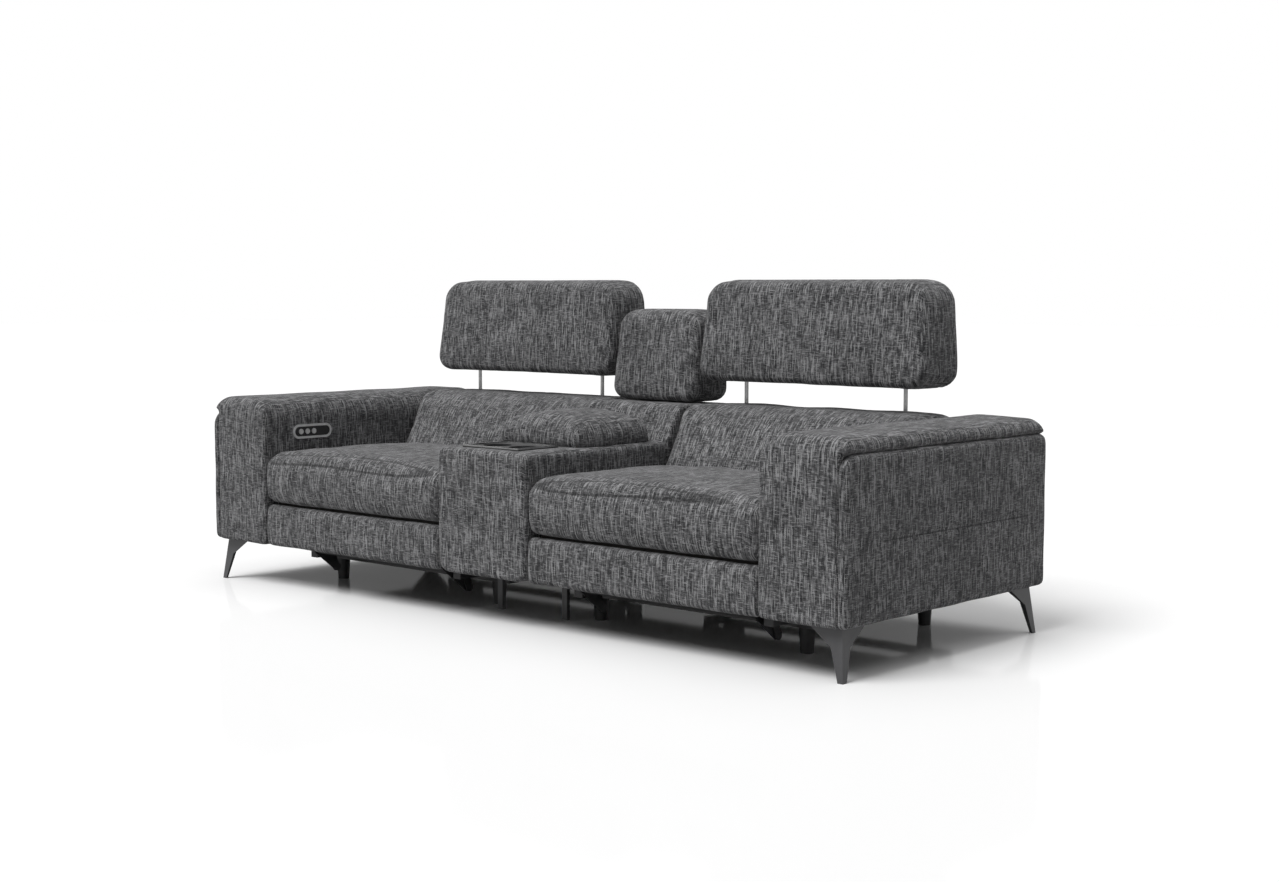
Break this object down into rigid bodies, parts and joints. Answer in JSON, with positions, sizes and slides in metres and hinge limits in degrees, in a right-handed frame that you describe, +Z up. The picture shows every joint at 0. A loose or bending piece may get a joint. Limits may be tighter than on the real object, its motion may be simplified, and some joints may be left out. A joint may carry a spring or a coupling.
{
  "type": "reclining sofa",
  "caption": "Reclining sofa with a fixed centre console that has a cup holder tray and a lidded storage bin, raised headrests on rods, wide arms with control panels and angled metal legs.",
  "frame": {"origin": "on the floor, in the middle of the sofa's width and depth", "axes": "+X to the right as seen from the front, +Y to the back, +Z up"},
  "size_m": [2.48, 0.947, 0.957],
  "materials": {
    "fabric": "matte",
    "timber": "matte",
    "steel": "satin",
    "leg_metal": "satin",
    "chrome": "polished",
    "black_plastic": "satin"
  },
  "bodies": {
    "root": {"left_arm_frame": "timber", "left_arm_upholstery": "fabric", "left_arm_side_panel": "fabric", "left_front_leg": "leg_metal", "left_rear_leg": "leg_metal", "right_arm_frame": "timber", "right_arm_upholstery": "fabric", "right_arm_side_panel": "fabric", "right_front_leg": "leg_metal", "right_rear_leg": "leg_metal", "centre_back": "fabric", "rear_lower_panel": "fabric", "console_shell": "fabric", "cup_tray": "black_plastic", "tray_trim": "chrome", "lid_hinge_fixed": "steel", "console_legs": "leg_metal", "control_bezels": "chrome", "control_housings": "black_plastic", "leg_screws": "steel", "mechanism_feet": "black_plastic", "base_cross_rails": "steel", "seat_slide_rails": "steel"},
    "left_seat": {"left_seat_deck": "timber", "left_seat_side_plates": "steel", "left_seat_cushion": "fabric", "left_actuators": "black_plastic"},
    "left_lower_links": {"left_footrest_lower_links": "steel"},
    "left_upper_links": {"left_footrest_upper_links": "steel"},
    "left_footrest": {"left_footrest_board": "steel", "left_footrest_pad": "fabric"},
    "left_back": {"left_back_frame": "steel", "left_back_cushion": "fabric", "left_back_rear_cover": "fabric"},
    "left_headrest": {"left_headrest_pad": "fabric", "left_headrest_rods": "chrome"},
    "left_button_front_body": {"left_button_front": "chrome"},
    "left_button_middle_body": {"left_button_middle": "chrome"},
    "left_button_rear_body": {"left_button_rear": "chrome"},
    "right_seat": {"right_seat_deck": "timber", "right_seat_side_plates": "steel", "right_seat_cushion": "fabric", "right_actuators": "black_plastic"},
    "right_lower_links": {"right_footrest_lower_links": "steel"},
    "right_upper_links": {"right_footrest_upper_links": "steel"},
    "right_footrest": {"right_footrest_board": "steel", "right_footrest_pad": "fabric"},
    "right_back": {"right_back_frame": "steel", "right_back_cushion": "fabric", "right_back_rear_cover": "fabric"},
    "right_headrest": {"right_headrest_pad": "fabric", "right_headrest_rods": "chrome"},
    "right_button_front_body": {"right_button_front": "chrome"},
    "right_button_middle_body": {"right_button_middle": "chrome"},
    "right_button_rear_body": {"right_button_rear": "chrome"},
    "console_lid": {"lid_board": "timber", "lid_pad": "fabric", "lid_hinge_moving": "steel"},
    "centre_headrest": {"centre_headrest_pad": "fabric", "centre_headrest_rods": "chrome"}
  },
  "joints": [
    {"name": "left_seat_glide", "type": "slide", "parent": "root", "child": "left_seat", "axis": [0, -1, 0], "range_m": [0, 0.12]},
    {"name": "left_back_recline", "type": "hinge", "parent": "left_seat", "child": "left_back", "pos_m": [-0.575, 0.1325, 0.3], "axis": [-1, 0, 0], "range_deg": [0, 30]},
    {"name": "left_footrest_swing", "type": "hinge", "parent": "left_seat", "child": "left_lower_links", "pos_m": [-0.575, -0.3275, 0.226], "axis": [-1, 0, 0], "range_deg": [0, 112.6]},
    {"name": "left_footrest_elbow", "type": "hinge", "parent": "left_lower_links", "child": "left_upper_links", "pos_m": [-0.575, -0.25756, 0.04934], "axis": [1, 0, 0], "range_deg": [0, 120.6]},
    {"name": "left_footrest_tilt", "type": "hinge", "parent": "left_upper_links", "child": "left_footrest", "pos_m": [-0.575, -0.40728, 0.16632], "axis": [-1, 0, 0], "range_deg": [0, 98]},
    {"name": "left_headrest_height", "type": "slide", "parent": "left_back", "child": "left_headrest", "axis": [0, 0, 1], "range_m": [-0.064, 0.03]},
    {"name": "left_button_front_press", "type": "slide", "parent": "root", "child": "left_button_front_body", "axis": [-1, 0, 0], "range_m": [0, 0.0015], "stiffness_N_per_m": 400},
    {"name": "left_button_middle_press", "type": "slide", "parent": "root", "child": "left_button_middle_body", "axis": [-1, 0, 0], "range_m": [0, 0.0015], "stiffness_N_per_m": 400},
    {"name": "left_button_rear_press", "type": "slide", "parent": "root", "child": "left_button_rear_body", "axis": [-1, 0, 0], "range_m": [0, 0.0015], "stiffness_N_per_m": 400},
    {"name": "right_seat_glide", "type": "slide", "parent": "root", "child": "right_seat", "axis": [0, -1, 0], "range_m": [0, 0.12]},
    {"name": "right_back_recline", "type": "hinge", "parent": "right_seat", "child": "right_back", "pos_m": [0.575, 0.1325, 0.3], "axis": [-1, 0, 0], "range_deg": [0, 30]},
    {"name": "right_footrest_swing", "type": "hinge", "parent": "right_seat", "child": "right_lower_links", "pos_m": [0.575, -0.3275, 0.226], "axis": [-1, 0, 0], "range_deg": [0, 112.6]},
    {"name": "right_footrest_elbow", "type": "hinge", "parent": "right_lower_links", "child": "right_upper_links", "pos_m": [0.575, -0.25756, 0.04934], "axis": [1, 0, 0], "range_deg": [0, 120.6]},
    {"name": "right_footrest_tilt", "type": "hinge", "parent": "right_upper_links", "child": "right_footrest", "pos_m": [0.575, -0.40728, 0.16632], "axis": [-1, 0, 0], "range_deg": [0, 98]},
    {"name": "right_headrest_height", "type": "slide", "parent": "right_back", "child": "right_headrest", "axis": [0, 0, 1], "range_m": [-0.064, 0.03]},
    {"name": "right_button_front_press", "type": "slide", "parent": "root", "child": "right_button_front_body", "axis": [1, 0, 0], "range_m": [0, 0.0015], "stiffness_N_per_m": 400},
    {"name": "right_button_middle_press", "type": "slide", "parent": "root", "child": "right_button_middle_body", "axis": [1, 0, 0], "range_m": [0, 0.0015], "stiffness_N_per_m": 400},
    {"name": "right_button_rear_press", "type": "slide", "parent": "root", "child": "right_button_rear_body", "axis": [1, 0, 0], "range_m": [0, 0.0015], "stiffness_N_per_m": 400},
    {"name": "console_lid_hinge", "type": "hinge", "parent": "root", "child": "console_lid", "pos_m": [0, 0.0745, 0.4943], "axis": [-1, 0, 0], "range_deg": [0, 72]},
    {"name": "centre_headrest_height", "type": "slide", "parent": "root", "child": "centre_headrest", "axis": [0, 0, 1], "range_m": [0, 0.1]}
  ],
  "couplings": [
    {"joint": "left_back_recline", "follows": "left_seat_glide", "rad_per_m": 4.3633},
    {"joint": "left_footrest_elbow", "follows": "left_footrest_swing", "ratio": 1.071},
    {"joint": "left_footrest_tilt", "follows": "left_footrest_swing", "ratio": 0.87034},
    {"joint": "right_back_recline", "follows": "right_seat_glide", "rad_per_m": 4.3633},
    {"joint": "right_footrest_elbow", "follows": "right_footrest_swing", "ratio": 1.071},
    {"joint": "right_footrest_tilt", "follows": "right_footrest_swing", "ratio": 0.87034}
  ]
}
